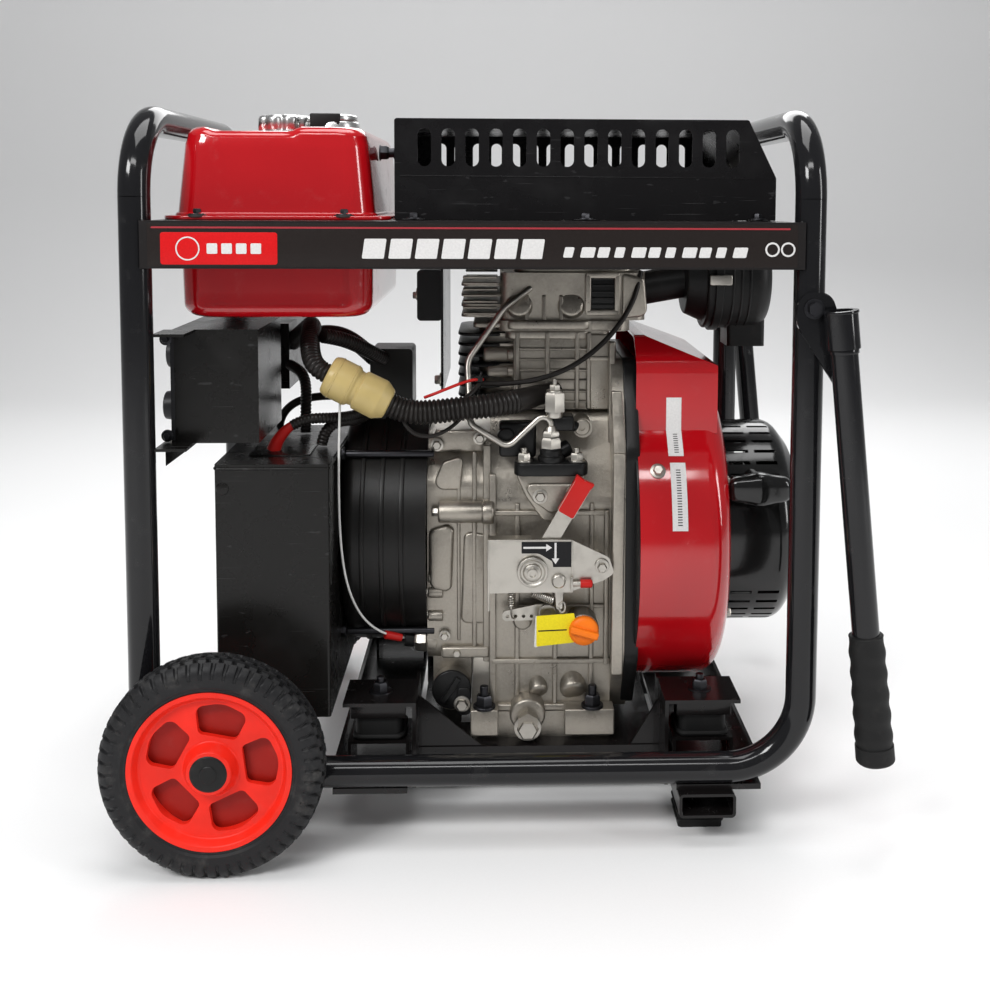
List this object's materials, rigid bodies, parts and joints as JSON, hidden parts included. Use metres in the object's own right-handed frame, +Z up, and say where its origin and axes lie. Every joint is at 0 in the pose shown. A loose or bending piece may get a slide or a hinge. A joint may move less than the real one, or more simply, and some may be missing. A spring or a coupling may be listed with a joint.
{
  "type": "engine driven welder",
  "caption": "Open tube frame power set with a horizontal-shaft diesel engine, alternator, fuel tank, slotted muffler cover, battery and control boxes, wheels, feet and folding handles.",
  "frame": {"origin": "bottom centre of the whole object's box, on the ground plane", "axes": "+X towards the recoil starter and the handles, -Y the service side, +Z up"},
  "size_m": [0.8117, 0.593, 0.78],
  "materials": {
    "frame_black": "gloss black powder coat",
    "bar_charcoal": "satin charcoal",
    "chassis_black": "satin black paint",
    "rubber_black": "moulded rubber",
    "bolt_black": "black oxide",
    "tyre_rubber": "solid rubber tyre",
    "rim_red": "red moulded plastic",
    "tank_red": "gloss red enamel",
    "cap_chrome": "polished",
    "cover_black": "satin black sheet",
    "exhaust_steel": "heat-dulled",
    "engine_alloy": "die cast",
    "rocker_alloy": "die cast",
    "pump_black": "blackened",
    "steel_zinc": "zinc plated",
    "orange_plastic": "orange moulded plastic",
    "recoil_plastic": "gloss black plastic",
    "iron_grey": "machined",
    "alternator_black": "satin black",
    "filter_plastic": "moulded plastic",
    "box_black": "gloss black",
    "panel_black": "satin black",
    "knob_plastic": "moulded",
    "key_metal": "plated",
    "connector_cream": "natural nylon",
    "conduit_black": "corrugated conduit"
  },
  "bodies": {
    "frame": {"frame_loop_front": "frame_black", "frame_loop_rear": "frame_black", "frame_hoop_left": "frame_black", "frame_hoop_right": "frame_black", "axle": "frame_black", "name_bar_front": "bar_charcoal", "name_bar_rear": "bar_charcoal", "cross_member_left": "chassis_black", "cross_member_right": "chassis_black", "engine_base": "chassis_black", "heat_shield": "chassis_black", "rubber_foot_front": "rubber_black", "rubber_foot_rear": "rubber_black", "rubber_mounts_front": "rubber_black", "rubber_mounts_rear": "rubber_black", "handle_bolt_front": "bolt_black", "handle_bolt_rear": "bolt_black", "fuel_tank": "tank_red", "blower_housing": "tank_red", "slotted_cover": "cover_black", "muffler": "exhaust_steel", "crankcase": "engine_alloy", "gear_cover": "engine_alloy", "cylinder_block": "engine_alloy", "cylinder_head": "engine_alloy", "rocker_cover": "rocker_alloy", "injection_pump": "pump_black", "starter_motor": "pump_black", "injector_line": "steel_zinc", "control_plate": "steel_zinc", "recoil_housing": "recoil_plastic", "alternator_housing": "alternator_black", "air_filter": "filter_plastic", "battery_box": "box_black", "battery_lid": "box_black", "control_box": "box_black", "control_panel": "panel_black", "harness_connector": "connector_cream", "harness_conduit": "conduit_black", "loose_wiring": "conduit_black"},
    "wheel_front": {"wheel_tyre_front": "tyre_rubber", "wheel_rim_front": "rim_red"},
    "wheel_rear": {"wheel_tyre_rear": "tyre_rubber", "wheel_rim_rear": "rim_red"},
    "handle_front": {"handle_arm_front": "frame_black", "handle_grip_front": "rubber_black"},
    "handle_rear": {"handle_arm_rear": "frame_black", "handle_grip_rear": "rubber_black"},
    "crank": {"crankshaft": "iron_grey", "flywheel": "iron_grey", "alternator_rotor": "alternator_black"},
    "pull_handle": {"recoil_handle": "recoil_plastic"},
    "pull_pulley": {"recoil_pulley": "recoil_plastic"},
    "stop_lever": {"stop_lever": "steel_zinc"},
    "speed_lever": {"speed_lever": "steel_zinc"},
    "fuel_cap": {"fuel_cap": "cap_chrome"},
    "dipstick": {"dipstick": "orange_plastic"},
    "key": {"key_switch": "key_metal"},
    "knob": {"current_knob": "knob_plastic"},
    "toggle": {"breaker_toggle": "knob_plastic"}
  },
  "joints": [
    {"name": "wheel_front_spin", "type": "hinge", "parent": "frame", "child": "wheel_front", "pos_m": [-0.29286, -0.2745, 0.113], "axis": [0, 1, 0], "continuous": true},
    {"name": "wheel_rear_spin", "type": "hinge", "parent": "frame", "child": "wheel_rear", "pos_m": [-0.29286, 0.2745, 0.113], "axis": [0, 1, 0], "continuous": true},
    {"name": "handle_front_fold", "type": "hinge", "parent": "frame", "child": "handle_front", "pos_m": [0.31514, -0.248, 0.573], "axis": [0, -1, 0], "range_deg": [0, 90]},
    {"name": "handle_rear_fold", "type": "hinge", "parent": "frame", "child": "handle_rear", "pos_m": [0.31514, 0.248, 0.573], "axis": [0, -1, 0], "range_deg": [0, 90]},
    {"name": "crank_spin", "type": "hinge", "parent": "frame", "child": "crank", "pos_m": [0.07114, 0, 0.29], "axis": [1, 0, 0], "continuous": true},
    {"name": "pull_cord", "type": "slide", "parent": "frame", "child": "pull_handle", "axis": [0, -1, 0], "range_m": [0, 0.055], "stiffness_N_per_m": 180, "springref_m": -0.01},
    {"name": "pulley_spin", "type": "hinge", "parent": "frame", "child": "pull_pulley", "pos_m": [0.28814, 0, 0.29], "axis": [1, 0, 0], "range_deg": [0, 48]},
    {"name": "stop_lever_swing", "type": "hinge", "parent": "frame", "child": "stop_lever", "pos_m": [0.03214, -0.153, 0.273], "axis": [0, 1, 0], "range_deg": [0, 35]},
    {"name": "speed_lever_swing", "type": "hinge", "parent": "frame", "child": "speed_lever", "pos_m": [0.05014, -0.1295, 0.217], "axis": [0, 1, 0], "range_deg": [-12, 12], "stiffness_Nm_per_rad": 0.6},
    {"name": "fuel_cap_turn", "type": "hinge", "parent": "frame", "child": "fuel_cap", "pos_m": [-0.24986, -0.06, 0.764], "axis": [0, 0, 1], "range_deg": [0, 90]},
    {"name": "dipstick_turn", "type": "hinge", "parent": "frame", "child": "dipstick", "pos_m": [0.09014, -0.15, 0.202], "axis": [0, -1, 0], "continuous": true},
    {"name": "key_turn", "type": "hinge", "parent": "frame", "child": "key", "pos_m": [-0.35886, -0.066, 0.462], "axis": [-1, 0, 0], "range_deg": [0, 90]},
    {"name": "current_knob_turn", "type": "hinge", "parent": "frame", "child": "knob", "pos_m": [-0.36086, -0.127, 0.512], "axis": [-1, 0, 0], "range_deg": [0, 270]},
    {"name": "breaker_toggle_flip", "type": "hinge", "parent": "frame", "child": "toggle", "pos_m": [-0.35586, 0.171, 0.483], "axis": [0, 1, 0], "range_deg": [-40, 0]}
  ],
  "couplings": [
    {"joint": "pulley_spin", "follows": "pull_cord", "rad_per_m": 15.038}
  ]
}
